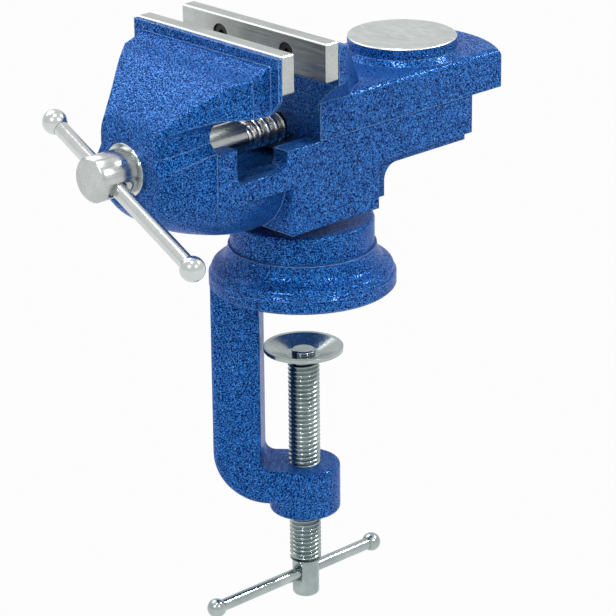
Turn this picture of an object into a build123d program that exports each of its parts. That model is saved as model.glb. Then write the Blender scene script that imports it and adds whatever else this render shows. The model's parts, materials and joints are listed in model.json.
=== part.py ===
from build123d import *
import os
from math import cos, sin, radians, sqrt

os.makedirs("parts", exist_ok=True)

# Small clamp-on bench vise with a swivelling head. Millimetres.
# Origin: the swivel axis, where it meets the flat underside of the flange.
# +Z is up, +Y runs from the handle end to the anvil, +X is to the right of a user at the handle.

# ---- Jaws
jaw_width = 75.0
plate_height = 14.0
plate_thickness = 6.0
plate_top = 103.0
plate_edge = 0.5
fixed_grip_y = -38.0
jaw_opening = 15.0
plate_screw_spacing = 34.0
plate_head_radius = 3.5
plate_head_height = 2.6
plate_head_clearance = 0.25
plate_head_depth = 3.2
plate_shank_radius = 2.0
plate_screw_reach = 6.0
fixed_screw_drop = 2.5
hex_socket_radius = 1.6
hex_socket_depth = 1.5

# ---- Fits
running_clearance = 0.06
screw_clearance = 0.05
bar_clearance = 0.2
hole_relief = 1.0

# ---- Main screw and its handle
screw_radius = 6.0
screw_above_walls = 0.2
head_radius = 8.1
head_length = 15.4
washer_radius = 9.6
washer_thickness = 1.6
screw_behind_nose = 140.0
screw_end_chamfer = 1.2
head_edge = 0.8
main_bar_radius = 2.8
main_bar_length = 78.8
main_ball_radius = 4.5
main_bar_setback = 7.0
main_bar_tilt = -27.0
main_bar_upper_reach = 29.6
groove_root_radius = 3.8
groove_width = 4.4
groove_from_nose = 10.0
spindle_pin_radius = 2.0
spindle_pin_gap = 0.1
spindle_pin_above_axis = 5.0
spindle_pin_length = 24.0

# ---- Body casting: channel walls, notch, pillars
wall_top = 63.0
body_half_width = 24.5
wall_rear_y = 64.4
notch_rear_y = -29.5
notch_front_y = -53.0
notch_floor_z = 56.2
notch_corner_radius = 3.5
pillar_top_z = 69.0
column_rear_y = -61.5
pad_bottom_z = 48.4
groove_beside_pillar = 1.4
slot_half_width = 17.2
slot_ledge = 5.8
slot_depth = 11.8
slot_undercut = 3.2
casting_edge = 0.8

# ---- Body casting: hood, nose, hull
nose_y = -82.0
lip_thickness = 1.6
lip_below_plate_top = 0.6
lip_corner_rise = 5.0
lip_corner_run = 4.0
lip_bottom_z = 82.0
wing_bottom_z = 81.8
# Hood, seen from the side: distance forward of the lip, height below the plate's top.
crown_curve = [(0.0, 4.1), (2.4, 5.0), (8.1, 7.2), (13.6, 8.9)]
crown_curve += [(19.2, 12.2), (24.8, 16.2), (30.8, 21.2), (36.4, 30.5)]
# Hood, seen from above: distance forward of the lip, half-width.
flank_straight = [(0.0, 33.5), (8.1, 33.4)]
flank_curve = [(8.1, 33.4), (13.6, 29.1), (19.2, 25.0), (24.8, 20.8), (30.8, 16.9)]
flank_curve += [(34.3, 14.6), (36.4, 13.0)]
# Hull sections: y, half-width, half-width above the ledge, ledge heights, underside z, corner radius.
hull_sections = [
    (-82.0, 16.4, 14.2, 64.6, 69.0, 48.6, 13.0),
    (-78.5, 18.8, 15.4, 65.4, 69.6, 44.6, 13.5),
    (-73.0, 20.8, 17.4, 66.8, 70.6, 40.8, 15.0),
    (-61.0, 23.4, 19.8, 69.4, 72.6, 36.0, 18.0),
    (-44.0, 23.4, 19.8, 70.0, 73.0, 31.0, 21.0),
    (-22.0, 23.4, 19.8, 70.0, 73.0, 28.6, 22.5),
]

# Flare under the hood: height from its underside, spread beyond the column.
wing_root_levels = [(-6.0, -0.3), (-3.6, 0.9), (-1.4, 3.6), (0.6, 9.0)]

# ---- Body casting: neck, keel, hub
neck_front_y = -27.0
neck_rear_y = 15.8
neck_bottom_z = 30.6
keel_half_width = 21.5
keel_rear_y = 21.0
keel_bottom_z = 33.6
tail_bottom_z = 45.4
tail_inset = 1.2
tail_fillet = 6.0
hub_radius = 26.6
hub_height = 10.6
hub_edge = 1.4
shoulder_radius = 24.2

# ---- Swivel post and lock
post_radius = 10.0
post_height = 28.0
post_groove_depth = 2.0
post_groove_width = 12.0
post_spigot_radius = 7.0
bore_relief = 1.2
lock_z = 33.6
lock_boss_radius = 8.0
lock_boss_height = 3.6
lock_screw_radius = 5.0
shoe_length = 6.0
shoe_gap = 0.25
shoe_clearance = 0.1
lock_travel = 1.2
lever_hub_radius = 7.2
lever_hub_length = 9.0
lever_gap = 1.0
lever_reach = 46.0
lever_root_width = 7.6
lever_tip_width = 9.8
lever_tip_chamfer = 3.0
lever_thickness = 6.0
lever_tilt = 4.0
lever_edge = 0.8

# ---- Flange and clamp frame
flange_radius = 34.6
flange_height = 15.8
flange_edge = 0.8
rim_height = 5.0
bell_foot_inset = 0.9
bell_foot_rise = 1.4
bell_middle_inset = 4.5
bell_middle_drop = 6.0
bell_flare = 0.3
post_seat_z = 5.0
arm_angle = 223.0
arm_inner = 15.5
arm_outer = 33.6
arm_half_depth = 11.8
arm_top_z = 2.5
arm_outer_corner = 21.0
arm_inner_corner = 4.0
arm_waist_radius = 6.0
arm_outer_edge = 3.0
arm_edge = 1.4
lower_arm_top_z = -72.2
lower_arm_thickness = 13.6
boss_radius = 13.4
boss_height = 19.2
boss_edge = 1.6

# ---- Clamp screw, pad and handle
clamp_radius = 6.0
clamp_shank_radius = 5.1
clamp_thread_length = 82.2
clamp_length = 97.4
clamp_end_round = 1.5
clamp_bar_above_end = 9.4
clamp_bar_radius = 2.3
clamp_bar_length = 81.0
clamp_ball_radius = 3.6
clamp_bar_front_reach = 45.8
pad_radius = 14.9
pad_rim_z = -25.4
pad_depth = 3.0
pad_wall = 1.4
pad_floor_radius = 6.4
spigot_radius = 3.4
rivet_radius = 4.5
rivet_height = 1.8
rivet_gap = 0.1

# ---- Sliding jaw
slab_setback = 3.4
slab_top_z = 77.6
slab_edge = 3.0
slab_corner_y = 79.5
slab_rear_bow = 8.5
jaw_head_below_plate_top = 2.4
jaw_head_bottom_z = 87.0
jaw_neck_half_width = 30.0
jaw_neck_z = 83.0
# Moving head, seen from above: distance behind the plate, half-width.
jaw_head_plan = [(0.0, 37.5), (3.5, 37.0), (13.0, 29.0), (20.0, 23.0), (33.0, 16.0)]
# Moving head, seen from the side: distance behind the plate, fall from its top.
jaw_head_back = [(3.0, 0.0), (9.0, 1.6), (15.0, 5.0), (21.0, 10.2), (26.0, 16.2), (30.0, 23.2)]
anvil_radius = 20.4
anvil_y = 51.8
anvil_top_z = 84.0
anvil_foot = 2.0
anvil_edge = 0.4
rail_clearance = 0.3
rail_height = 6.1
rail_rear_y = 61.0
nut_length = 24.0
nut_half_width = 10.4
nut_pocket_clearance = 0.1
nut_wall = 4.4
nut_height_above_axis = 9.8
tail_tunnel_radius = 7.5
tail_tunnel_rear_y = 75.0
front_wall = 3.6
keeper_thickness = 4.6
keeper_front_gap = 1.2
keeper_length = 44.0
keeper_side_clearance = 0.3
keeper_screw_radius = 1.6
keeper_screw_head = 3.0
keeper_key_radius = 1.2
keeper_key_depth = 1.0
keeper_screw_reach = 8.0
keeper_screw_inset = 8.0

# ---- Places that follow from the sizes above
plate_bottom = plate_top - plate_height
moving_screw_z = plate_top - plate_height / 2
fixed_screw_z = moving_screw_z - fixed_screw_drop
fixed_back_y = fixed_grip_y - plate_thickness
moving_grip_y = fixed_grip_y + jaw_opening
moving_back_y = moving_grip_y + plate_thickness
lip_front_y = fixed_back_y - lip_thickness
slab_front_y = moving_back_y + slab_setback
screw_z = wall_top + screw_above_walls
washer_front_y = nose_y - washer_thickness
head_front_y = washer_front_y - head_length
main_bar_y = head_front_y + main_bar_setback
slot_floor_z = wall_top - slot_depth
slot_ledge_z = wall_top - slot_ledge
hub_top_z = flange_height + hub_height
post_top_z = flange_height + post_height
boss_top_z = lower_arm_top_z
boss_bottom_z = boss_top_z - boss_height
pad_floor_z = pad_rim_z - pad_depth
clamp_top_z = pad_floor_z - pad_wall
clamp_bar_z = clamp_top_z - clamp_length + clamp_bar_above_end
rail_bottom_z = wall_top - rail_height
nut_front_y = slab_front_y + front_wall
nut_rear_y = nut_front_y + nut_length
keeper_front_y = nut_rear_y + keeper_front_gap
shoe_radius = post_groove_width / 2 - post_groove_depth - shoe_clearance
lock_tip_x = post_groove_depth - post_radius - shoe_gap - shoe_length
lever_inner_x = -body_half_width - lock_boss_height - lever_gap
lever_outer_x = lever_inner_x - lever_hub_length
main_bar_direction = Vector(cos(radians(main_bar_tilt)), 0, sin(radians(main_bar_tilt)))
beyond = 60.0
touch = 0.002


def block(x0, x1, y0, y1, z0, z1):
    """Box between two corners."""
    centre = Pos((x0 + x1) / 2, (y0 + y1) / 2, (z0 + z1) / 2)
    return centre * Box(x1 - x0, y1 - y0, z1 - z0)


def wide_block(half_width, y0, y1, z0, z1):
    """Box centred on the head's middle plane."""
    return block(-half_width, half_width, y0, y1, z0, z1)


def round_bar(radius, start, end):
    """Cylinder from one point to another."""
    start, end = Vector(*start), Vector(*end)
    base = Plane(origin=start, z_dir=end - start)
    return base * Cylinder(radius, (end - start).length, align=(Align.CENTER, Align.CENTER, Align.MIN))


def cone_bar(radius_start, radius_end, start, end):
    """Tapered round bar from one point to another."""
    start, end = Vector(*start), Vector(*end)
    base = Plane(origin=start, z_dir=end - start)
    return base * Cone(
        radius_start, radius_end, (end - start).length, align=(Align.CENTER, Align.CENTER, Align.MIN)
    )


def turned(outline):
    """Solid of revolution about Z from an outline of (radius, z) points."""
    face = make_face(Plane.XZ * Polyline(*outline, close=True))
    return revolve(face, Axis.Z)


def side_prism(outline, half_width):
    """Outline of (y, z) points carried to both sides."""
    return extrude(make_face(Plane.YZ * outline), half_width, both=True)


def cross_prism(outline, y0, y1):
    """Outline of (x, z) points carried from y0 back to y1."""
    face = make_face(Plane(origin=(0, y0, 0), x_dir=(1, 0, 0), z_dir=(0, -1, 0)) * outline)
    return extrude(face, y1 - y0, dir=(0, 1, 0))


def save(shape, node):
    """Write one node's solids."""
    export_step(shape, f"parts/{node}.step")


# ---------------------------------------------------------------- jaw plates

def plate_holes(grip_y, away, z):
    """Counterbored screw holes of a plate. away is +1 or -1, from the grip face into the plate."""
    holes = Part()
    for x in (-plate_screw_spacing / 2, plate_screw_spacing / 2):
        floor = grip_y + away * plate_head_depth
        holes += round_bar(
            plate_head_radius + plate_head_clearance, (x, grip_y - away, z), (x, floor, z)
        )
        holes += round_bar(
            plate_shank_radius + running_clearance,
            (x, grip_y, z),
            (x, grip_y + 2 * away * plate_thickness, z),
        )
    return holes


def jaw_plate(grip_y, away, screw_height):
    """Hardened jaw plate with broken edges."""
    y0, y1 = sorted((grip_y, grip_y + away * plate_thickness))
    plate = chamfer(wide_block(jaw_width / 2, y0, y1, plate_bottom, plate_top).edges(), plate_edge)
    return plate - plate_holes(grip_y, away, screw_height)


def plate_screws(grip_y, away, z):
    """The two socket-head screws of a plate."""
    screws = []
    for x in (-plate_screw_spacing / 2, plate_screw_spacing / 2):
        seat = grip_y + away * plate_head_depth
        crown = seat - away * plate_head_height
        tip = grip_y + away * (plate_thickness + plate_screw_reach)
        screw = round_bar(plate_head_radius, (x, crown, z), (x, seat, z))
        screw += round_bar(plate_shank_radius, (x, seat, z), (x, tip, z))
        key = Plane(origin=(x, crown, z), z_dir=(0, away, 0)) * RegularPolygon(hex_socket_radius, 6)
        screws.append(screw - extrude(key, hex_socket_depth))
    return Compound(children=screws)


def tapped_holes(grip_y, away, z):
    """Holes in a casting for the plate screws."""
    holes = Part()
    for x in (-plate_screw_spacing / 2, plate_screw_spacing / 2):
        end = grip_y + away * (plate_thickness + plate_screw_reach + hole_relief)
        holes += round_bar(plate_shank_radius, (x, grip_y, z), (x, end, z))
    return holes


# ---------------------------------------------------------------- body casting

def hull_section(y, half_width, ledge_half_width, ledge_low_z, ledge_high_z, bottom_z, radius):
    """Cross-section of the body below the hood, with its sloping ledge and rounded underside."""
    right = [
        (ledge_half_width, wing_bottom_z + casting_edge),
        (ledge_half_width, ledge_high_z),
        (half_width, ledge_low_z),
        (half_width, bottom_z + radius),
    ]
    left = [(-x, z) for x, z in reversed(right)]
    plane = Plane(origin=(0, y, 0), x_dir=(1, 0, 0), z_dir=(0, -1, 0))
    diagonal = radius * (1 - sqrt(0.5))
    outline = [
        Polyline(*right),
        ThreePointArc(
            right[-1], (half_width - diagonal, bottom_z + diagonal), (half_width - radius, bottom_z)
        ),
        Line((half_width - radius, bottom_z), (radius - half_width, bottom_z)),
        ThreePointArc(
            (radius - half_width, bottom_z), (diagonal - half_width, bottom_z + diagonal), left[0]
        ),
        Polyline(*left),
        Line(left[-1], right[0]),
    ]
    return make_face(plane * Curve(outline))


def side_envelope():
    """Everything below the hood's crown and behind the nose face."""
    crown = [(lip_front_y - d, plate_top - drop) for d, drop in crown_curve]
    curve = Spline(*crown, tangents=[(-1, 0), (0, -1)])
    top = crown[0]
    low = hub_top_z - beyond
    return side_prism(
        Curve(
            [
                curve,
                Polyline(crown[-1], (nose_y, low), (beyond, low), (beyond, top[1]), top),
            ]
        ),
        beyond,
    )


def hood():
    """Wedge-shaped jaw head, wide at the lip and narrow at the nose, seen from above."""
    straight = [(w, lip_front_y - d) for d, w in flank_straight]
    curved = [(w, lip_front_y - d) for d, w in flank_curve]
    tip_w, tip_y = curved[-1]
    right = [Line(*straight), Spline(*curved)]
    left = [mirror(edge, Plane.YZ) for edge in right]
    ends = [
        Line((tip_w, tip_y), (-tip_w, tip_y)),
        Line((-straight[0][0], lip_front_y), (straight[0][0], lip_front_y)),
    ]
    plan = make_face(Curve(right + left + ends))
    return Pos(0, 0, wing_bottom_z) * extrude(plan, plate_top - wing_bottom_z)


def jaw_lip():
    """Thin upright flange that backs the fixed plate, full width, with cut lower corners."""
    half = jaw_width / 2
    top = plate_top - lip_below_plate_top
    outline = Polyline(
        (-half, top),
        (half, top),
        (half, lip_bottom_z + lip_corner_rise),
        (half - lip_corner_run, lip_bottom_z),
        (lip_corner_run - half, lip_bottom_z),
        (-half, lip_bottom_z + lip_corner_rise),
        close=True,
    )
    return cross_prism(outline, lip_front_y, fixed_back_y)


def body_tail():
    """Lower rear of the casting: the inset strip under the walls and the rib down the neck."""
    tail_rear_y = wall_rear_y - tail_inset
    outline = Polyline(
        (neck_front_y, slot_floor_z),
        (tail_rear_y, slot_floor_z),
        (tail_rear_y, tail_bottom_z),
        (keel_rear_y, tail_bottom_z),
        (keel_rear_y, keel_bottom_z),
        (neck_front_y, keel_bottom_z),
        close=True,
    )
    tail = side_prism(outline, keel_half_width)
    corner = (
        tail.edges()
        .filter_by(Axis.X)
        .filter_by_position(Axis.Y, keel_rear_y, keel_rear_y)
        .filter_by_position(Axis.Z, tail_bottom_z, tail_bottom_z)
    )
    return fillet(corner, tail_fillet)


def body_walls():
    """Channel walls with the notch behind the column, and the pillars in front of it."""
    walls = wide_block(body_half_width, column_rear_y, wall_rear_y, pad_bottom_z, wall_top)
    walls += wide_block(body_half_width, column_rear_y, notch_front_y, pad_bottom_z, pillar_top_z)
    notch = wide_block(beyond, notch_front_y, notch_rear_y, notch_floor_z, pillar_top_z + beyond)
    corners = notch.edges().filter_by(Axis.X).group_by(Axis.Z)[0]
    return walls - fillet(corners, notch_corner_radius)


def body_slot():
    """T-shaped guide for the sliding jaw, open at the rear, and the run of the screw in front of it."""
    upper = wide_block(slot_half_width, column_rear_y, wall_rear_y + beyond, slot_ledge_z, wing_bottom_z)
    lower = wide_block(
        slot_half_width + slot_undercut,
        notch_front_y + notch_corner_radius,
        wall_rear_y + beyond,
        slot_floor_z,
        slot_ledge_z,
    )
    return upper + lower


def wing_root():
    """Flare that carries the column out to the underside of the hood."""
    layers = []
    for rise, spread in wing_root_levels:
        front_sections = [section for section in hull_sections if section[0] < column_rear_y + hole_relief]
        right = [(section[2] + spread, section[0]) for section in front_sections]
        side = Spline(*right)
        ends = [Line((-x, y), (x, y)) for x, y in (right[0], right[-1])]
        outline = Curve([side, mirror(side, Plane.YZ), *ends])
        layers.append(Pos(0, 0, wing_bottom_z + rise) * make_face(outline))
    return loft(layers)


def front_casting():
    """Hull, column and hood cut to the side view, with the rim of its front rounded."""
    plan = hood()
    envelope = side_envelope()
    flare = wing_root() & (plan + Pos(0, 0, wing_bottom_z - plate_top) * plan)
    hull = loft([hull_section(*section) for section in hull_sections])
    hull -= wide_block(beyond, column_rear_y, beyond, slot_floor_z, plate_top)
    front = (hull + plan + flare) & envelope
    skin = [face for face in envelope.faces() if face.bounding_box().max.Y <= lip_front_y + touch]
    rim = []
    for edge in front.edges():
        seam = abs((edge @ 0).X) < touch and abs((edge @ 0.5).X) < touch
        spots = [Vertex(*(edge @ t)) for t in (0.1, 0.5, 0.9)]
        on_skin = all(min(face.distance_to(spot) for face in skin) < touch for spot in spots)
        if on_skin and not seam and (edge @ 0.5).Y < lip_front_y - touch:
            rim.append(edge)
    return fillet(rim, casting_edge)


def body_sides():
    """Channel walls and the neck flush below them, with rounded outlines on both sides."""
    sides = body_walls() + wide_block(
        body_half_width, neck_front_y, neck_rear_y, neck_bottom_z, pad_bottom_z
    )
    for end in (0, -1):
        outline = sides.faces().filter_by(Plane.YZ).sort_by(Axis.X)[end].edges()
        sides = fillet(outline, casting_edge)
    return sides


def vise_body():
    """Fixed jaw, nose, channel, neck and hub in one casting."""
    body = front_casting() + jaw_lip() + body_sides() + body_tail()
    shoulder_top = neck_bottom_z + hub_edge
    body += Pos(0, 0, hub_top_z - hub_edge) * Cylinder(
        shoulder_radius, shoulder_top - hub_top_z + hub_edge, align=(Align.CENTER, Align.CENTER, Align.MIN)
    )
    hub = Pos(0, 0, flange_height) * Cylinder(
        hub_radius, hub_height, align=(Align.CENTER, Align.CENTER, Align.MIN)
    )
    body += fillet(hub.edges().group_by(Axis.Z)[-1], hub_edge)
    body += round_bar(lock_boss_radius, (-body_half_width - lock_boss_height, 0, lock_z), (0, 0, lock_z))
    body -= body_slot()
    for side in (-1, 1):
        groove_x = side * body_half_width
        body -= round_bar(
            groove_beside_pillar,
            (groove_x, column_rear_y - groove_beside_pillar, pad_bottom_z),
            (groove_x, column_rear_y - groove_beside_pillar, pillar_top_z + hole_relief),
        )
    body -= round_bar(
        post_radius + running_clearance, (0, 0, flange_height), (0, 0, post_top_z + bore_relief)
    )
    body -= round_bar(
        lock_screw_radius + screw_clearance,
        (-body_half_width - lock_boss_height, 0, lock_z),
        (lock_tip_x + lock_travel, 0, lock_z),
    )
    body -= round_bar(shoe_radius + shoe_clearance, (lock_tip_x, 0, lock_z), (0, 0, lock_z))
    body -= round_bar(screw_radius + running_clearance, (0, nose_y, screw_z), (0, column_rear_y, screw_z))
    body -= spindle_pin(beyond)
    body -= tapped_holes(fixed_grip_y, -1, fixed_screw_z)
    return body


# ---------------------------------------------------------------- main screw

def spindle_pin(length):
    """Pin that stands in the screw's groove and keeps it from being pushed out."""
    x = groove_root_radius + spindle_pin_radius + spindle_pin_gap
    y = nose_y + groove_from_nose + groove_width / 2
    top = screw_z + spindle_pin_above_axis
    return round_bar(spindle_pin_radius, (x, y, top - length), (x, y, top))


def main_screw():
    """Screw with its cross-drilled head and the groove for its pin."""
    head = round_bar(head_radius, (0, head_front_y, screw_z), (0, washer_front_y, screw_z))
    screw = chamfer(head.edges().filter_by(GeomType.CIRCLE), head_edge)
    tail = (0, nose_y + screw_behind_nose, screw_z)
    shank = round_bar(screw_radius, (0, washer_front_y - head_edge, screw_z), tail)
    screw += chamfer(shank.edges().group_by(Axis.Y)[-1], screw_end_chamfer)
    groove_y = nose_y + groove_from_nose
    groove_start, groove_end = (0, groove_y, screw_z), (0, groove_y + groove_width, screw_z)
    ring = round_bar(screw_radius + hole_relief, groove_start, groove_end)
    screw -= ring - round_bar(groove_root_radius, groove_start, groove_end)
    cross = main_bar_direction * (2 * head_radius)
    middle = Vector(0, main_bar_y, screw_z)
    screw -= round_bar(main_bar_radius + bar_clearance, middle - cross, middle + cross)
    return screw


def spindle_washer():
    """Washer between the screw's head and the nose."""
    outer = round_bar(washer_radius, (0, washer_front_y, screw_z), (0, nose_y, screw_z))
    return outer - round_bar(
        screw_radius + bar_clearance, (0, washer_front_y, screw_z), (0, nose_y, screw_z)
    )


def bar_with_balls(middle, direction, first_reach, length, bar_radius, ball_radius):
    """Tommy bar between two ball centres, and its two bored balls."""
    first = middle - direction * first_reach
    last = first + direction * length
    bar = round_bar(bar_radius, first, last)
    bore = round_bar(bar_radius + screw_clearance, first, last)
    balls = []
    for centre in (first, last):
        ball = Plane(origin=centre, z_dir=direction) * Sphere(ball_radius)
        balls.append(ball - bore)
    return bar, Compound(children=balls)


# ---------------------------------------------------------------- sliding jaw

def slab():
    """Long slab that rides on the channel walls, bowed at the rear, with rounded upper edges."""
    right, left = body_half_width, -body_half_width
    front = [(left, slab_corner_y), (left, slab_front_y), (right, slab_front_y), (right, slab_corner_y)]
    bow = (0, slab_corner_y + slab_rear_bow)
    outline = Curve([Polyline(*front), ThreePointArc(front[-1], bow, front[0])])
    body = Pos(0, 0, wall_top) * extrude(make_face(outline), slab_top_z - wall_top)
    return fillet(body.edges().group_by(Axis.Z)[-1], slab_edge)


def jaw_head():
    """Head behind the moving plate: wide at the plate, narrowing and curving down to the slab behind it."""
    half = jaw_width / 2
    top = plate_top - jaw_head_below_plate_top
    foot_z = slab_top_z - slab_edge
    right = [
        (half, top),
        (half, jaw_head_bottom_z),
        (jaw_neck_half_width, jaw_neck_z),
        (body_half_width - slab_edge, foot_z),
    ]
    front_view = Polyline(*right, *[(-x, z) for x, z in reversed(right)], close=True)
    head = cross_prism(front_view, moving_back_y, moving_back_y + beyond)
    flank = Spline(*[(w, moving_back_y + d) for d, w in jaw_head_plan])
    ends = [Line(flank @ t, Vector(-(flank @ t).X, (flank @ t).Y)) for t in (0, 1)]
    plan = make_face(Curve([flank, mirror(flank, Plane.YZ), *ends]))
    head &= Pos(0, 0, foot_z) * extrude(plan, top - foot_z)
    back = [(moving_back_y + d, top - drop) for d, drop in jaw_head_back]
    rear_y = back[-1][0]
    outline = [
        Spline(*back),
        Polyline(back[-1], (rear_y, foot_z), (moving_back_y, foot_z), (moving_back_y, top), back[0]),
    ]
    head &= side_prism(Curve(outline), half)
    head -= wide_block(half, moving_back_y, slab_front_y, foot_z, plate_bottom - slab_edge)
    rim = []
    for edge in head.edges():
        middle = edge @ 0.5
        behind_plate = middle.Y > moving_back_y + touch and abs(middle.Y - slab_front_y) > touch
        if behind_plate and middle.Z > slab_top_z + casting_edge and abs(middle.X) > casting_edge:
            rim.append(edge)
    return fillet(rim, casting_edge)


def anvil():
    """Round anvil with a flared foot and a ground top."""
    drum = turned(
        [
            (0, slab_top_z - slab_edge),
            (anvil_radius + anvil_foot, slab_top_z - slab_edge),
            (anvil_radius + anvil_foot, slab_top_z),
            (anvil_radius, slab_top_z + anvil_foot),
            (anvil_radius, anvil_top_z - anvil_edge),
            (anvil_radius - anvil_edge, anvil_top_z),
            (0, anvil_top_z),
        ]
    )
    return Pos(0, anvil_y, 0) * drum


def rails():
    """Two rails under the slab that run between the channel walls."""
    outer = slot_half_width - rail_clearance
    inner = nut_half_width + nut_pocket_clearance
    both = wide_block(outer, slab_front_y, rail_rear_y, rail_bottom_z, wall_top)
    return both - wide_block(inner, slab_front_y, rail_rear_y, rail_bottom_z, wall_top)


def keeper_screw_places():
    """Centres of the keeper's screws, in the middle of each rail."""
    x = (slot_half_width - rail_clearance + nut_half_width + nut_pocket_clearance) / 2
    rows = (keeper_front_y + keeper_screw_inset, keeper_front_y + keeper_length - keeper_screw_inset)
    return [(side * x, y) for side in (-1, 1) for y in rows]


def sliding_jaw():
    """Moving jaw and anvil in one casting."""
    jaw = slab() + jaw_head() + anvil() + rails()
    pocket_top = screw_z + nut_height_above_axis
    pocket = wide_block(
        nut_half_width + nut_pocket_clearance, nut_front_y, nut_rear_y, rail_bottom_z, pocket_top
    )
    jaw -= pocket
    jaw -= round_bar(tail_tunnel_radius, (0, slab_front_y, screw_z), (0, tail_tunnel_rear_y, screw_z))
    for x, y in keeper_screw_places():
        tip = rail_bottom_z + keeper_screw_reach + hole_relief
        jaw -= round_bar(keeper_screw_radius, (x, y, rail_bottom_z), (x, y, tip))
    return jaw - tapped_holes(moving_grip_y, 1, moving_screw_z)


def lead_nut():
    """Block nut in the slab's pocket, held there by the screw that runs through it."""
    nut = wide_block(
        nut_half_width,
        nut_front_y,
        nut_rear_y,
        screw_z - screw_radius - nut_wall,
        screw_z + nut_height_above_axis,
    )
    return nut - round_bar(
        screw_radius + screw_clearance, (0, nut_front_y, screw_z), (0, nut_rear_y, screw_z)
    )


def keeper_plate():
    """Plate under the rails that hooks below the channel's ledges."""
    half = slot_half_width + slot_undercut - keeper_side_clearance
    top, bottom = rail_bottom_z, rail_bottom_z - keeper_thickness
    plate = wide_block(half, keeper_front_y, keeper_front_y + keeper_length, bottom, top)
    for x, y in keeper_screw_places():
        plate -= round_bar(keeper_screw_radius + running_clearance, (x, y, bottom), (x, y, top))
        plate -= keeper_screw_cone(x, y, bottom)
    return plate


def keeper_screw_cone(x, y, bottom):
    """Countersunk head, flush with the keeper's underside."""
    depth = keeper_screw_head - keeper_screw_radius
    return cone_bar(keeper_screw_head, keeper_screw_radius, (x, y, bottom), (x, y, bottom + depth))


def keeper_screws():
    """Countersunk screws that hold the keeper."""
    screws = []
    bottom = rail_bottom_z - keeper_thickness
    for x, y in keeper_screw_places():
        shank = round_bar(keeper_screw_radius, (x, y, bottom), (x, y, rail_bottom_z + keeper_screw_reach))
        key = Plane(origin=(x, y, bottom), z_dir=(0, 0, 1)) * RegularPolygon(keeper_key_radius, 6)
        screws.append(shank + keeper_screw_cone(x, y, bottom) - extrude(key, keeper_key_depth))
    return Compound(children=screws)


# ---------------------------------------------------------------- swivel and lock

def swivel_post():
    """Post that the head turns on, with the groove that the lock bears in."""
    spigot = round_bar(post_spigot_radius, (0, 0, post_seat_z), (0, 0, flange_height))
    half = post_groove_width / 2
    root = post_radius - post_groove_depth
    post = turned(
        [
            (0, flange_height),
            (post_radius, flange_height),
            (post_radius, lock_z - half),
            (root, lock_z - half + post_groove_depth),
            (root, lock_z + half - post_groove_depth),
            (post_radius, lock_z + half),
            (post_radius, post_top_z - hub_edge),
            (post_radius - hub_edge, post_top_z),
            (0, post_top_z),
        ]
    )
    return post + spigot


def lock_shoe():
    """Soft pad between the lock screw and the post's groove."""
    root = post_radius - post_groove_depth
    near = -root - shoe_gap
    return round_bar(shoe_radius, (near - shoe_length, 0, lock_z), (near, 0, lock_z))


def lock_screw():
    """Screw that turns in the body's side boss and presses the shoe."""
    return round_bar(lock_screw_radius, (lever_outer_x, 0, lock_z), (lock_tip_x, 0, lock_z))


def lock_lever():
    """Hand lever on the lock screw, pointing forwards beside the body."""
    hub = round_bar(lever_hub_radius, (lever_inner_x, 0, lock_z), (lever_outer_x, 0, lock_z))
    arm = Polyline(
        (0, -lever_root_width / 2),
        (-lever_reach + lever_tip_chamfer, -lever_tip_width / 2),
        (-lever_reach, lever_tip_chamfer - lever_tip_width / 2),
        (-lever_reach, lever_tip_width / 2 - lever_tip_chamfer),
        (-lever_reach + lever_tip_chamfer, lever_tip_width / 2),
        (0, lever_root_width / 2),
        close=True,
    )
    plane = Plane(origin=(lever_outer_x, 0, lock_z), x_dir=(0, 1, 0), z_dir=(1, 0, 0))
    blade = extrude(make_face(plane * arm), lever_thickness)
    turn = Location((0, 0, lock_z)) * Rotation(-lever_tilt, 0, 0) * Location((0, 0, -lock_z))
    blade = fillet(blade.faces().sort_by(Axis.X)[0].edges(), lever_edge)
    lever = hub + turn * blade
    return lever - lock_screw()


# ---------------------------------------------------------------- clamp

def flange():
    """Bell-shaped flange that sits on the table."""
    waist = hub_radius + flange_edge
    top = flange_height
    middle = (flange_radius - bell_middle_inset, top - bell_middle_drop)
    foot = (flange_radius - bell_foot_inset, rim_height + bell_foot_rise)
    outline = Curve(
        [
            Polyline((0, top), (waist, top), (waist, top - flange_edge)),
            Spline((waist, top - flange_edge), middle, foot, tangents=[(bell_flare, -1), (0, -1)]),
            Polyline(
                foot,
                (flange_radius, rim_height),
                (flange_radius, flange_edge),
                (flange_radius - flange_edge, 0),
                (0, 0),
                (0, top),
            ),
        ]
    )
    return revolve(make_face(Plane.XZ * outline), Axis.Z)


def arm_side():
    """The C seen from its side: up from the boss, past the corner, and into the flange's underside."""
    bottom = lower_arm_top_z - lower_arm_thickness
    outline = Polyline(
        (-flange_radius, bottom),
        (arm_outer, bottom),
        (arm_outer, arm_top_z),
        (arm_inner, arm_top_z),
        (arm_inner, lower_arm_top_z),
        (-flange_radius, lower_arm_top_z),
        close=True,
    )
    side = extrude(make_face(Plane.XZ * outline), flange_radius, both=True)
    outer = side.edges().filter_by(Axis.Y).filter_by_position(Axis.X, arm_outer, arm_outer)
    side = fillet(outer.sort_by(Axis.Z)[:1], arm_outer_corner)
    inner = side.edges().filter_by(Axis.Y).filter_by_position(Axis.X, arm_inner, arm_inner)
    return fillet(inner.sort_by(Axis.Z)[:1], arm_inner_corner)


def arm_plan():
    """The C seen from above: a straight bar that waists into the round boss."""
    bar = Pos(flange_radius / 2, 0) * Rectangle(flange_radius, 2 * arm_half_depth)
    plan = Circle(boss_radius) + bar
    waist_x = sqrt(boss_radius**2 - arm_half_depth**2)
    corners = plan.vertices().filter_by_position(Axis.X, waist_x - arm_edge, waist_x + arm_edge)
    return fillet(corners, arm_waist_radius)


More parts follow.
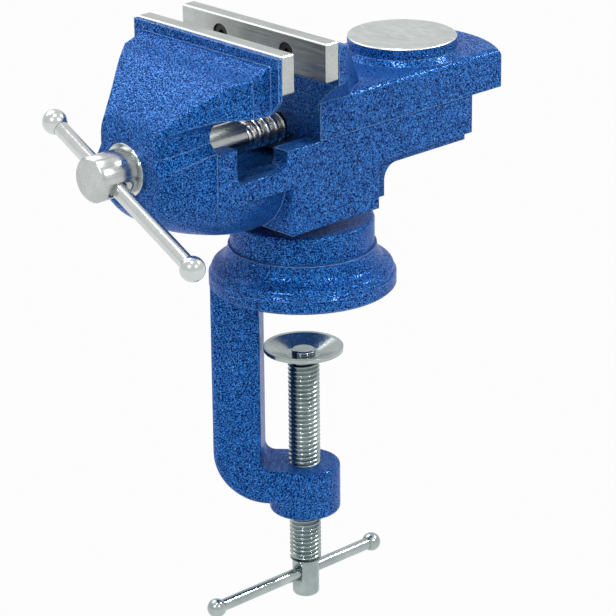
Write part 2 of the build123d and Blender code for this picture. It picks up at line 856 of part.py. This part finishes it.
def clamp_arm():
    """Arm of the C with rounded edges, in its own plane, and the boss at its lower end."""
    bottom = lower_arm_top_z - lower_arm_thickness
    column = Pos(0, 0, bottom - hole_relief) * extrude(arm_plan(), arm_top_z - bottom + 2 * hole_relief)
    arm = arm_side() & column
    outer = [edge for edge in along_arm(arm) if edge.center().X > arm_inner + arm_edge]
    outer += [edge for edge in along_arm(arm) if edge.center().Z < bottom + arm_edge and edge not in outer]
    arm = fillet(outer, arm_outer_edge)
    inner = [edge for edge in along_arm(arm) if edge.center().X < arm_inner + arm_edge]
    arm = fillet([edge for edge in inner if edge.center().Z > lower_arm_top_z - arm_edge / 2], arm_edge)
    boss = Pos(0, 0, boss_bottom_z) * Cylinder(
        boss_radius, boss_height - arm_edge, align=(Align.CENTER, Align.CENTER, Align.MIN)
    )
    return arm + fillet(boss.edges().group_by(Axis.Z)[0], boss_edge)


def along_arm(arm):
    """Edges that run along the arm's two sides, below the flange."""
    across = arm.edges().filter_by(Axis.Y)
    below = [edge for edge in arm.edges() if edge.center().Z < arm_top_z - hole_relief]
    return [edge for edge in below if edge not in across]


def clamp_frame():
    """C-shaped casting: flange, arm and threaded boss."""
    frame = flange() + Rotation(0, 0, arm_angle) * clamp_arm()
    frame -= round_bar(clamp_radius + screw_clearance, (0, 0, boss_bottom_z), (0, 0, boss_top_z))
    frame -= round_bar(post_spigot_radius, (0, 0, post_seat_z), (0, 0, flange_height))
    return frame


def clamp_screw():
    """Clamp screw with a plain cross-drilled end below and a riveted spigot above."""
    thread_bottom = clamp_top_z - clamp_thread_length
    end_z = clamp_top_z - clamp_length
    rivet_bottom = pad_floor_z + rivet_gap
    screw = round_bar(clamp_radius, (0, 0, thread_bottom), (0, 0, clamp_top_z))
    shank = round_bar(clamp_shank_radius, (0, 0, end_z), (0, 0, thread_bottom))
    screw += fillet(shank.edges().group_by(Axis.Z)[0], clamp_end_round)
    screw += round_bar(spigot_radius, (0, 0, clamp_top_z), (0, 0, rivet_bottom))
    rivet = round_bar(rivet_radius, (0, 0, rivet_bottom), (0, 0, rivet_bottom + rivet_height))
    screw += fillet(rivet.edges().group_by(Axis.Z)[-1], rivet_height / 2)
    reach = 2 * clamp_radius
    screw -= round_bar(clamp_bar_radius + bar_clearance, (0, -reach, clamp_bar_z), (0, reach, clamp_bar_z))
    return screw


def clamp_pad():
    """Dished pad that bears under the table and stays still while the screw turns."""
    pad = turned(
        [
            (spigot_radius + bar_clearance, pad_floor_z),
            (pad_floor_radius, pad_floor_z),
            (pad_radius - pad_wall, pad_rim_z),
            (pad_radius, pad_rim_z),
            (pad_radius, pad_rim_z - pad_wall),
            (pad_floor_radius + pad_wall, clamp_top_z),
            (spigot_radius + bar_clearance, clamp_top_z),
        ]
    )
    return pad


# ---------------------------------------------------------------- write the nodes

main_bar, main_bar_balls = bar_with_balls(
    Vector(0, main_bar_y, screw_z),
    main_bar_direction,
    main_bar_upper_reach,
    main_bar_length,
    main_bar_radius,
    main_ball_radius,
)
clamp_bar, clamp_bar_balls = bar_with_balls(
    Vector(0, 0, clamp_bar_z),
    Vector(0, 1, 0),
    clamp_bar_front_reach,
    clamp_bar_length,
    clamp_bar_radius,
    clamp_ball_radius,
)
nodes = {
    "clamp_frame": clamp_frame(),
    "swivel_post": swivel_post(),
    "clamp_screw": clamp_screw(),
    "clamp_pad": clamp_pad(),
    "clamp_bar": clamp_bar,
    "clamp_bar_balls": clamp_bar_balls,
    "vise_body": vise_body(),
    "front_jaw_plate": jaw_plate(fixed_grip_y, -1, fixed_screw_z),
    "front_plate_screws": plate_screws(fixed_grip_y, -1, fixed_screw_z),
    "lock_shoe": lock_shoe(),
    "lock_screw": lock_screw(),
    "lock_lever": lock_lever(),
    "main_screw": main_screw(),
    "spindle_washer": spindle_washer(),
    "spindle_pin": spindle_pin(spindle_pin_length),
    "main_bar": main_bar,
    "main_bar_balls": main_bar_balls,
    "sliding_jaw": sliding_jaw(),
    "rear_jaw_plate": jaw_plate(moving_grip_y, 1, moving_screw_z),
    "rear_plate_screws": plate_screws(moving_grip_y, 1, moving_screw_z),
    "lead_nut": lead_nut(),
    "keeper_plate": keeper_plate(),
    "keeper_screws": keeper_screws(),
}
for node, shape in nodes.items():
    save(shape, node)
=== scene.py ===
import json
import math

import bmesh
import bpy
from mathutils import Matrix, Vector

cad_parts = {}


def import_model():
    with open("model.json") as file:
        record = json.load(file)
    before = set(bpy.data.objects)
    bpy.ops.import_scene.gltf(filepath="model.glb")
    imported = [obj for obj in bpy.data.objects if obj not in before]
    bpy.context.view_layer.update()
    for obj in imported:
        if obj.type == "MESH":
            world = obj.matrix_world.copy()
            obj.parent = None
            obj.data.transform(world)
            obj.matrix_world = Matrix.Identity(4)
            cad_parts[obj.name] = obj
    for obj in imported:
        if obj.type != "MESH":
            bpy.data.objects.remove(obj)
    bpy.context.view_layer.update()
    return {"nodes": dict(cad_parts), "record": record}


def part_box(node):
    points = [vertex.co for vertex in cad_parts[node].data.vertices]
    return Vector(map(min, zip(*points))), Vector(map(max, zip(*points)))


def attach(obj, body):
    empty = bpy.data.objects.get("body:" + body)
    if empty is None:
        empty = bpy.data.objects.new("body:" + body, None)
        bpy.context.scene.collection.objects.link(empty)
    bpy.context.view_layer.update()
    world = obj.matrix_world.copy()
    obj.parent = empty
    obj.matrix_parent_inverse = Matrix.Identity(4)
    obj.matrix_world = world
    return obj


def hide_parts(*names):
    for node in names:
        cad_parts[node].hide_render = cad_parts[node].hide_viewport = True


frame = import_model()
nodes = frame["nodes"]
MM = 0.001

# ---------------------------------------------------------------- sizes, in metres

# Main screw: its thread starts behind a plain shank and runs along +Y to the screw's rear end.
MAIN_THREAD_START = -31.0 * MM
MAIN_CREST = 6.0 * MM
MAIN_ROOT = 4.4 * MM
MAIN_PITCH = 4.0 * MM
MAIN_CREST_WIDTH = 1.7 * MM
MAIN_ROOT_GAP = 0.8 * MM
MAIN_END_CHAMFER = 1.2 * MM

# Clamp screw: its thread runs down from the pad's underside.
CLAMP_THREAD_TOP = -29.8 * MM
CLAMP_THREAD_END = -112.0 * MM
CLAMP_CREST = 6.0 * MM
CLAMP_ROOT = 4.95 * MM
CLAMP_PITCH = 1.75 * MM
CLAMP_CREST_WIDTH = 0.25 * MM
CLAMP_ROOT_GAP = 0.2 * MM

# Both threads: steps in a turn, then how the ridge fades at its ends, down to a share of its height.
THREAD_STEPS = 48
RUN_OUT_TURNS = 0.5
RUN_OUT_SHARE = 0.04

# The ridge's crest is eased: how far its shoulders reach down the flanks, and how high they stand.
CREST_SOFTNESS = 0.12
SHOULDER_RISE = 0.9

# How far a ridge and a core run into what they stand on, and what counts as one point.
SHELL_OVERLAP = 0.3 * MM
SAME_POINT = 0.001 * MM

# Ground top of the anvil.
ANVIL_CENTRE = Vector((0.0, 51.8 * MM))
ANVIL_RADIUS = 20.6 * MM
ANVIL_TOP = 84.0 * MM
ANVIL_TOP_EDGE = 0.45 * MM

# Stage: a floor below the clamp screw at its lowest, and strengths of 1 for plain white.
FLOOR_HEIGHT = -0.195
FLOOR_REACH = 6.0
FLOOR_COLOUR = (0.90, 0.90, 0.90)
FLOOR_GLOW = 0.30
FLOOR_SEEN = 0.98
WORLD_LIGHT = 0.24
WORLD_SEEN = 0.80

# Square lamps: name, place, point aimed at, side, power in watts.
LAMPS = (
    ("top", (-0.8, -0.05, 0.9), (0.0, 0.0, 0.05), 0.8, 4.5),
    ("key", (0.33, -1.15, 0.95), (0.0, 0.0, 0.0), 0.14, 8.0),
    ("glint", (0.42, 0.85, 0.95), (0.0, 0.0, 0.03), 0.15, 6.0),
    ("above", (0.15, -0.25, 1.3), (0.0, 0.0, 0.0), 0.2, 7.0),
    ("right", (1.05, -0.02, 0.78), (0.0, 0.0, 0.0), 0.10, 4.5),
)

# Camera: angles in radians, then how far the origin lies right of, below and ahead of the lens.
CAMERA_TURN = 0.8125138
CAMERA_TILT = 0.3704087
CAMERA_ROLL = -0.0101131
ORIGIN_RIGHT = -1.94756 * MM
ORIGIN_DOWN = -9.70986 * MM
ORIGIN_AHEAD = 1105.501 * MM
FOCAL_PIXELS = 3000.0
PICTURE_PIXELS = 616.0
SENSOR_WIDTH = 36.0
CLIP_START = 0.05
CLIP_END = 20.0

# ---------------------------------------------------------------- colour and grain

# Hammered enamel, from its deepest blue to the painted highlight along its edges, with tints for its
# finest and widest grain.
DEEP_BLUE = (0.0003, 0.012, 0.090)
SPECK_BLUE = (0.0030, 0.150, 0.570)
FLAKE_BLUE = (0.110, 0.350, 0.780)
EDGE_HIGHLIGHT_BLUE = (0.280, 0.480, 0.800)
FLECK_DARK = (0.80, 0.80, 0.82)
FLECK_LIGHT = (1.15, 1.15, 1.12)
CLOUD_DARK = (0.92, 0.92, 0.94)
CLOUD_LIGHT = (1.08, 1.08, 1.06)

# How the enamel takes light: its bright specks carry the clear coat.
ENAMEL_ROUGHNESS = 0.33
ENAMEL_METALLIC = 0.45
ENAMEL_SPECULAR = 0.12
ENAMEL_TINT = (0.12, 0.42, 1.0, 1.0)
SPECK_COAT = 0.55
COAT_ROUGHNESS = 0.19

# Grain of the enamel and of its casting: noise scales per metre, and the part of a noise that shows.
SPECK_SCALE = 1900.0
SPECK_RANGE = (0.44, 0.57)
FLECK_SCALE = 3600.0
FLECK_RANGE = (0.35, 0.65)
FLAKE_SCALE = 2100.0
FLAKE_RANGE = (0.60, 0.70)
FLAKE_SHIFT = (0.37, 0.11, 0.23)
CLOUD_SCALE = 70.0
CASTING_SCALE = 240.0
SPECK_RELIEF = 0.26 * MM
CASTING_RELIEF = 0.20 * MM
CASTING_STRENGTH = 0.5

# Painted highlight along the enamel's edges: their radius, how far the normal turns where the highlight
# shows, and how much of it is mixed in.
ENAMEL_EDGE = 0.6 * MM
EDGE_TURN = (0.90, 0.99)
EDGE_HIGHLIGHT_SHARE = 0.65

# Grain of bare and plated metal, stronger where it is brushed.
MARK_SCALE = 900.0
STAIN_SCALE = 90.0
PIT_SCALE = 420.0
MARK_RELIEF = 0.04 * MM
BRUSHED_STRENGTH = 0.3
PLAIN_STRENGTH = 0.08
PIT_RELIEF = 0.10 * MM
STREAK_DARK = (0.86, 0.86, 0.86)
WHITE = (1.0, 1.0, 1.0)
SMOOTHEST = 0.02

# Most of what a noise texture gives lies between these.
NOISE_LOW = 0.3
NOISE_HIGH = 0.7

# Sockets of the colour mix node, which has the same names more than once.
MIX_FACTOR = 0
MIX_LOW = 6
MIX_HIGH = 7
MIX_RESULT = 2

# Samples that round an edge in a shader.
BEVEL_SAMPLES = 6


# ---------------------------------------------------------------- materials

class Nodes:
    """Small helper around a material's node tree."""

    def __init__(self, name):
        self.material = bpy.data.materials.new(name)
        self.material.use_nodes = True
        self.tree = self.material.node_tree
        self.tree.nodes.clear()
        self.out = self.add("ShaderNodeOutputMaterial")
        self.place = self.add("ShaderNodeTexCoord").outputs["Object"]

    def add(self, kind, **values):
        node = self.tree.nodes.new(kind)
        for key, value in values.items():
            setattr(node, key, value)
        return node

    def link(self, source, target):
        self.tree.links.new(source, target)

    def noise(self, scale, detail=2.0, roughness=0.5, coords=None):
        node = self.add("ShaderNodeTexNoise")
        node.inputs["Scale"].default_value = scale
        node.inputs["Detail"].default_value = detail
        node.inputs["Roughness"].default_value = roughness
        self.link(coords or self.place, node.inputs["Vector"])
        return node.outputs["Fac"]

    def stretched(self, scale):
        """Place scaled by a factor for each axis."""
        node = self.add("ShaderNodeMapping")
        node.inputs["Scale"].default_value = scale
        self.link(self.place, node.inputs["Vector"])
        return node.outputs["Vector"]

    def shifted(self, offset):
        """Place moved by an offset, for a second noise unlike the first."""
        node = self.add("ShaderNodeMapping")
        node.inputs["Location"].default_value = offset
        self.link(self.place, node.inputs["Vector"])
        return node.outputs["Vector"]

    def spread(self, value, out_low=0.0, out_high=1.0):
        """Noise spread over a whole range."""
        return self.ramp(value, NOISE_LOW, NOISE_HIGH, out_low, out_high)

    def scaled(self, value, top):
        """A value from 0 to 1, brought down to a lower top."""
        return self.ramp(value, 0.0, 1.0, 0.0, top)

    def ramp(self, value, low, high, out_low=0.0, out_high=1.0):
        node = self.add("ShaderNodeMapRange")
        node.inputs["From Min"].default_value = low
        node.inputs["From Max"].default_value = high
        node.inputs["To Min"].default_value = out_low
        node.inputs["To Max"].default_value = out_high
        self.link(value, node.inputs["Value"])
        return node.outputs["Result"]

    def mix(self, factor, low, high, blend="MIX"):
        node = self.add("ShaderNodeMix", data_type="RGBA", blend_type=blend)
        for socket, value in ((node.inputs[MIX_LOW], low), (node.inputs[MIX_HIGH], high)):
            if isinstance(value, tuple):
                socket.default_value = (*value, 1.0)
            else:
                self.link(value, socket)
        if isinstance(factor, float):
            node.inputs[MIX_FACTOR].default_value = factor
        else:
            self.link(factor, node.inputs[MIX_FACTOR])
        return node.outputs[MIX_RESULT]

    def bump(self, height, distance, strength=1.0, below=None):
        node = self.add("ShaderNodeBump")
        node.inputs["Distance"].default_value = distance
        node.inputs["Strength"].default_value = strength
        self.link(height, node.inputs["Height"])
        if below is not None:
            self.link(below, node.inputs["Normal"])
        return node.outputs["Normal"]

    def edges(self, radius):
        """Normal that rounds the edges by a radius."""
        node = self.add("ShaderNodeBevel", samples=BEVEL_SAMPLES)
        node.inputs["Radius"].default_value = radius
        return node.outputs["Normal"]

    def edge_mask(self, rounded, low, high):
        """1 where the rounded normal turns away from the flat one, along edges."""
        flat = self.add("ShaderNodeNewGeometry").outputs["Normal"]
        turn = self.add("ShaderNodeVectorMath", operation="DOT_PRODUCT")
        self.link(flat, turn.inputs[0])
        self.link(rounded, turn.inputs[1])
        return self.ramp(turn.outputs["Value"], high, low)

    def finish(self, colour, rough, normal, coat=None, **fixed):
        """Material from these and from fixed sockets, written with _ for a space."""
        shader = self.add("ShaderNodeBsdfPrincipled")
        for key, value in fixed.items():
            shader.inputs[key.replace("_", " ")].default_value = value
        self.link(colour, shader.inputs["Base Color"])
        if isinstance(rough, float):
            shader.inputs["Roughness"].default_value = rough
        else:
            self.link(rough, shader.inputs["Roughness"])
        self.link(normal, shader.inputs["Normal"])
        if coat is not None:
            self.link(coat, shader.inputs["Coat Weight"])
            self.link(normal, shader.inputs["Coat Normal"])
        self.link(shader.outputs["BSDF"], self.out.inputs["Surface"])
        return self.material


def hammertone():
    """Blue hammered enamel: fine bright specks over deeper blue, on an uneven casting."""
    n = Nodes("hammertone_blue")
    specks = n.ramp(n.noise(SPECK_SCALE, detail=1.5, roughness=0.55), *SPECK_RANGE)
    flecks = n.ramp(n.noise(FLECK_SCALE, detail=1.0), *FLECK_RANGE)
    clouds = n.spread(n.noise(CLOUD_SCALE, detail=3.0))
    colour = n.mix(specks, DEEP_BLUE, SPECK_BLUE)
    colour = n.mix(1.0, colour, n.mix(flecks, FLECK_DARK, FLECK_LIGHT), "MULTIPLY")
    colour = n.mix(1.0, colour, n.mix(clouds, CLOUD_DARK, CLOUD_LIGHT), "MULTIPLY")
    flakes = n.ramp(n.noise(FLAKE_SCALE, detail=1.0, coords=n.shifted(FLAKE_SHIFT)), *FLAKE_RANGE)
    colour = n.mix(flakes, colour, FLAKE_BLUE)
    rounded = n.edges(ENAMEL_EDGE)
    # Painted highlight: a paler blue is mixed in along convex and hollow edges alike, where the rounded
    # normal turns away from the flat one.
    painted_edge_highlight = n.scaled(n.edge_mask(rounded, *EDGE_TURN), EDGE_HIGHLIGHT_SHARE)
    colour = n.mix(painted_edge_highlight, colour, EDGE_HIGHLIGHT_BLUE)
    cast = n.bump(n.noise(CASTING_SCALE, detail=3.0), CASTING_RELIEF, CASTING_STRENGTH, rounded)
    normal = n.bump(specks, SPECK_RELIEF, below=cast)
    return n.finish(
        colour,
        ENAMEL_ROUGHNESS,
        normal,
        coat=n.scaled(specks, SPECK_COAT),
        Metallic=ENAMEL_METALLIC,
        Specular_IOR_Level=ENAMEL_SPECULAR,
        Specular_Tint=ENAMEL_TINT,
        Coat_Roughness=COAT_ROUGHNESS,
    )


def metal(name, light, dark, roughness, grain=None, radius=0.3 * MM, wear=0.08, pits=0.0):
    """Bare or plated metal.

    grain stretches the fine marks, as a scale for each axis. radius rounds the edges, wear is how
    much the roughness varies, and pits is how strongly the surface is pitted.
    """
    n = Nodes(name)
    coords = n.stretched(grain) if grain else None
    marks = n.noise(MARK_SCALE, detail=3.0, roughness=0.6, coords=coords)
    stains = n.spread(n.noise(STAIN_SCALE, detail=4.0, roughness=0.55))
    colour = n.mix(stains, dark, light)
    if grain:
        colour = n.mix(1.0, colour, n.mix(n.spread(marks), STREAK_DARK, WHITE), "MULTIPLY")
    rough = n.spread(marks, max(roughness - wear, SMOOTHEST), roughness + wear)
    strength = BRUSHED_STRENGTH if grain else PLAIN_STRENGTH
    normal = n.bump(marks, MARK_RELIEF, strength, n.edges(radius))
    if pits:
        normal = n.bump(n.noise(PIT_SCALE), PIT_RELIEF, pits, normal)
    return n.finish(colour, rough, normal, Metallic=1.0)


BLUE = hammertone()
# Each metal: its lighter and darker colour, then its roughness.
GROUND = metal("ground_steel", (0.60, 0.63, 0.61), (0.47, 0.50, 0.49), 0.34, grain=(0.05, 1.0, 1.0))
ANVIL = metal(
    "ground_anvil", (0.68, 0.71, 0.69), (0.60, 0.63, 0.62), 0.36, grain=(0.25, 0.8, 1.0), pits=0.15
)
CHROME = metal("bright_plate", (0.70, 0.73, 0.72), (0.58, 0.61, 0.61), 0.17, radius=0.4 * MM, wear=0.05)
TURNED = metal(
    "turned_steel", (0.62, 0.65, 0.64), (0.50, 0.53, 0.52), 0.26, grain=(1.0, 0.08, 1.0), radius=0.4 * MM
)
ZINC = metal("zinc_plate", (0.48, 0.54, 0.53), (0.30, 0.36, 0.36), 0.20)
OILED = metal("oiled_steel", (0.80, 0.80, 0.77), (0.68, 0.68, 0.65), 0.24)
BLACK = metal("blackened_steel", (0.09, 0.09, 0.095), (0.04, 0.04, 0.042), 0.40)
BRASS = metal("brass_metal", (0.78, 0.57, 0.27), (0.62, 0.43, 0.18), 0.30)
IRON = metal("machined_iron", (0.33, 0.33, 0.34), (0.20, 0.20, 0.21), 0.42)

FINISHES = {
    "blue_paint": BLUE,
    "jaw_steel": GROUND,
    "chrome_plate": CHROME,
    "zinc_plate": ZINC,
    "screw_steel": OILED,
    "black_screws": BLACK,
    "brass": BRASS,
    "nut_iron": IRON,
}


def cover(piece, material):
    """One material on every face."""
    piece.data.materials.clear()
    piece.data.materials.append(material)


def face_finish(piece, material, chosen):
    """A second material on the faces whose middle passes the test."""
    piece.data.materials.append(material)
    for face in piece.data.polygons:
        if chosen(face.center):
            face.material_index = 1


for row in frame["record"]["subparts"]:
    cover(nodes[row["node"]], FINISHES[row["material_slot"]])


def on_anvil_top(middle):
    """Faces of the anvil's ground top and of its broken edge."""
    beside = (middle.xy - ANVIL_CENTRE).length < ANVIL_RADIUS
    return beside and abs(middle.z - ANVIL_TOP) < ANVIL_TOP_EDGE


face_finish(nodes["sliding_jaw"], ANVIL, on_anvil_top)


# ---------------------------------------------------------------- threaded screws

def cut_piece(source, point, direction):
    """Closed copy of a mesh, keeping what lies ahead of a plane."""
    work = bmesh.new()
    work.from_mesh(source.data)
    bmesh.ops.remove_doubles(work, verts=work.verts, dist=SAME_POINT)
    parts = work.verts[:] + work.edges[:] + work.faces[:]
    cut = bmesh.ops.bisect_plane(
        work, geom=parts, plane_co=point, plane_no=direction, clear_inner=True
    )
    rim = [part for part in cut["geom_cut"] if isinstance(part, bmesh.types.BMEdge)]
    bmesh.ops.edgeloop_fill(work, edges=rim)
    return work


def add_rings(work, rings):
    """Skin over rings of equal length, each closed on itself, with a face at both ends."""
    count = len(rings[0])
    loops = [[work.verts.new(point) for point in ring] for ring in rings]
    for near, far in zip(loops, loops[1:]):
        for i in range(count):
            j = (i + 1) % count
            work.faces.new((near[i], near[j], far[j], far[i])).smooth = True
    work.faces.new(list(reversed(loops[0])))
    work.faces.new(loops[-1])


def add_core(work, to_axis, radius, length, chamfer):
    """Round core of a thread from the start of its axis, with a chamfered far end."""
    outline = [(radius, 0.0), (radius, length - chamfer), (radius - chamfer, length)]
    angles = [math.tau * i / THREAD_STEPS for i in range(THREAD_STEPS)]
    rings = []
    for r, height in outline:
        rings.append([to_axis @ Vector((r * math.cos(a), r * math.sin(a), height)) for a in angles])
    add_rings(work, rings)


def add_ridge(work, to_axis, pitch, root, crest, crest_width, root_gap, length):
    """Right-hand ridge of a thread, fading out at both ends."""
    half_root = (pitch - root_gap) / 2
    half_crest = crest_width / 2
    soft = CREST_SOFTNESS * (half_root - half_crest)
    steps = int((length - 2 * half_root) / pitch * THREAD_STEPS)
    rings = []
    for step in range(steps + 1):
        turns = step / THREAD_STEPS
        from_end = min(turns, (steps - step) / THREAD_STEPS)
        rise = (crest - root) * min(1.0, RUN_OUT_SHARE + from_end / RUN_OUT_TURNS)
        shoulder = root + rise * SHOULDER_RISE
        angle = math.tau * turns
        middle = half_root + pitch * turns
        outline = [
            (root - SHELL_OVERLAP, -half_root),
            (root, -half_root),
            (shoulder, -half_crest - soft),
            (root + rise, -half_crest + soft),
            (root + rise, half_crest - soft),
            (shoulder, half_crest + soft),
            (root, half_root),
            (root - SHELL_OVERLAP, half_root),
        ]
        ring = [Vector((r * math.cos(angle), r * math.sin(angle), middle + w)) for r, w in outline]
        rings.append([to_axis @ point for point in ring])
    add_rings(work, rings)


def as_piece(name, work, material):
    """Object from a working mesh, with its faces turned outward."""
    bmesh.ops.recalc_face_normals(work, faces=work.faces)
    mesh = bpy.data.meshes.new(name)
    work.to_mesh(mesh)
    work.free()
    piece = bpy.data.objects.new(name, mesh)
    bpy.context.scene.collection.objects.link(piece)
    cover(piece, material)
    return piece


def along(direction, start):
    """Turns +Z into a direction and starts at a point."""
    turn = Vector(direction).to_track_quat("Z", "X").to_matrix().to_4x4()
    return Matrix.Translation(start) @ turn


def main_screw():
    """Head and plain shank kept from the CAD, with a real trapezoidal thread behind them."""
    low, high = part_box("main_screw")
    axis_z = (low.z + high.z) / 2
    start = Vector((0.0, MAIN_THREAD_START, axis_z))
    length = high.y - MAIN_THREAD_START
    head = cut_piece(nodes["main_screw"], start, (0.0, -1.0, 0.0))
    head_piece = as_piece("main_screw_head", head, TURNED)
    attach(head_piece, "spindle")
    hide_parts("main_screw")
    to_axis = along((0.0, 1.0, 0.0), start - Vector((0.0, SHELL_OVERLAP, 0.0)))
    work = bmesh.new()
    add_core(work, to_axis, MAIN_ROOT, length + SHELL_OVERLAP, MAIN_END_CHAMFER)
    ridge_length = length + SHELL_OVERLAP - MAIN_END_CHAMFER
    add_ridge(
        work, to_axis, MAIN_PITCH, MAIN_ROOT, MAIN_CREST, MAIN_CREST_WIDTH, MAIN_ROOT_GAP, ridge_length
    )
    thread = as_piece("main_screw_thread", work, OILED)
    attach(thread, "spindle")
    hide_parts("main_screw")


def clamp_screw():
    """Riveted top and plain drilled end kept from the CAD, with a real V thread between them."""
    top = Vector((0.0, 0.0, CLAMP_THREAD_TOP))
    end = Vector((0.0, 0.0, CLAMP_THREAD_END))
    work = cut_piece(nodes["clamp_screw"], top, (0.0, 0.0, 1.0))
    lower = cut_piece(nodes["clamp_screw"], end, (0.0, 0.0, -1.0))
    spare = bpy.data.meshes.new("clamp_screw_lower")
    lower.to_mesh(spare)
    lower.free()
    work.from_mesh(spare)
    bpy.data.meshes.remove(spare)
    to_axis = along((0.0, 0.0, 1.0), end - Vector((0.0, 0.0, SHELL_OVERLAP)))
    length = CLAMP_THREAD_TOP - CLAMP_THREAD_END + SHELL_OVERLAP
    add_core(work, to_axis, CLAMP_ROOT, length, SHELL_OVERLAP)
    add_ridge(
        work, to_axis, CLAMP_PITCH, CLAMP_ROOT, CLAMP_CREST, CLAMP_CREST_WIDTH, CLAMP_ROOT_GAP, length
    )
    piece = as_piece("clamp_screw_threaded", work, ZINC)
    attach(piece, "clamp_screw_body")
    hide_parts("clamp_screw")


main_screw()
clamp_screw()


# ---------------------------------------------------------------- floor, light, camera

def stage_object(name, data):
    piece = bpy.data.objects.new(name, data)
    bpy.context.scene.collection.objects.link(piece)
    return piece


def seen_rays(tree):
    """1 for what the camera sees, also by way of shiny or clear surfaces."""
    ray = tree.nodes.new("ShaderNodeLightPath")
    seen = ray.outputs["Is Camera Ray"]
    for kind in ("Is Glossy Ray", "Is Transmission Ray"):
        either = tree.nodes.new("ShaderNodeMath")
        either.operation = "MAXIMUM"
        tree.links.new(seen, either.inputs[0])
        tree.links.new(ray.outputs[kind], either.inputs[1])
        seen = either.outputs[0]
    return seen


def floor():
    """Pale floor that lights the object softly and is plain white to the eye."""
    mesh = bpy.data.meshes.new("floor")
    signs = ((-1.0, -1.0), (1.0, -1.0), (1.0, 1.0), (-1.0, 1.0))
    corners = [(x * FLOOR_REACH, y * FLOOR_REACH, FLOOR_HEIGHT) for x, y in signs]
    mesh.from_pydata(corners, [], [(0, 1, 2, 3)])
    n = Nodes("pale_floor")
    matt = n.add("ShaderNodeBsdfDiffuse")
    matt.inputs["Color"].default_value = (*FLOOR_COLOUR, 1.0)
    glow = n.add("ShaderNodeEmission")
    glow.inputs["Strength"].default_value = FLOOR_GLOW
    both = n.add("ShaderNodeAddShader")
    n.link(matt.outputs[0], both.inputs[0])
    n.link(glow.outputs[0], both.inputs[1])
    white = n.add("ShaderNodeEmission")
    white.inputs["Strength"].default_value = FLOOR_SEEN
    choice = n.add("ShaderNodeMixShader")
    n.link(seen_rays(n.tree), choice.inputs[0])
    n.link(both.outputs[0], choice.inputs[1])
    n.link(white.outputs[0], choice.inputs[2])
    n.link(choice.outputs[0], n.out.inputs["Surface"])
    piece = stage_object("floor", mesh)
    piece.data.materials.append(n.material)


def lamp(name, place, aim, side, power):
    """Square lamp at a place, aimed at a point."""
    data = bpy.data.lights.new(name, "AREA")
    data.shape = "SQUARE"
    data.size = side
    data.energy = power
    piece = stage_object(name, data)
    toward = (Vector(aim) - Vector(place)).normalized()
    turn = toward.to_track_quat("-Z", "Y").to_matrix().to_4x4()
    piece.matrix_world = Matrix.Translation(place) @ turn


def world():
    """Plain studio surroundings: soft light, and the white that the camera and bright metal see."""
    scene_world = bpy.data.worlds.new("studio")
    bpy.context.scene.world = scene_world
    scene_world.use_nodes = True
    tree = scene_world.node_tree
    back = tree.nodes["Background"]
    back.inputs["Color"].default_value = (*WHITE, 1.0)
    strength = tree.nodes.new("ShaderNodeMapRange")
    strength.inputs["To Min"].default_value = WORLD_LIGHT
    strength.inputs["To Max"].default_value = WORLD_SEEN
    tree.links.new(seen_rays(tree), strength.inputs["Value"])
    tree.links.new(strength.outputs["Result"], back.inputs["Strength"])


def camera():
    """Long lens from the right of the handle end, looking down on the head."""
    level_reach = math.cos(CAMERA_TILT)
    ahead = Vector(
        (-math.sin(CAMERA_TURN) * level_reach, math.cos(CAMERA_TURN) * level_reach, -math.sin(CAMERA_TILT))
    )
    level = Vector((math.cos(CAMERA_TURN), math.sin(CAMERA_TURN), 0.0))
    below = ahead.cross(level)
    right = math.cos(CAMERA_ROLL) * level - math.sin(CAMERA_ROLL) * below
    down = math.sin(CAMERA_ROLL) * level + math.cos(CAMERA_ROLL) * below
    place = -(ORIGIN_RIGHT * right + ORIGIN_DOWN * down + ORIGIN_AHEAD * ahead)
    data = bpy.data.cameras.new("camera")
    data.sensor_width = SENSOR_WIDTH
    data.lens = FOCAL_PIXELS / PICTURE_PIXELS * SENSOR_WIDTH
    data.clip_start = CLIP_START
    data.clip_end = CLIP_END
    piece = bpy.data.objects.new("camera", data)
    bpy.context.scene.collection.objects.link(piece)
    rows = zip(right, -down, -ahead, place)
    piece.matrix_world = Matrix([list(row) for row in rows] + [[0.0, 0.0, 0.0, 1.0]])
    bpy.context.scene.camera = piece


floor()
world()
for row in LAMPS:
    lamp(*row)
camera()
bpy.context.scene.view_settings.view_transform = "Standard"
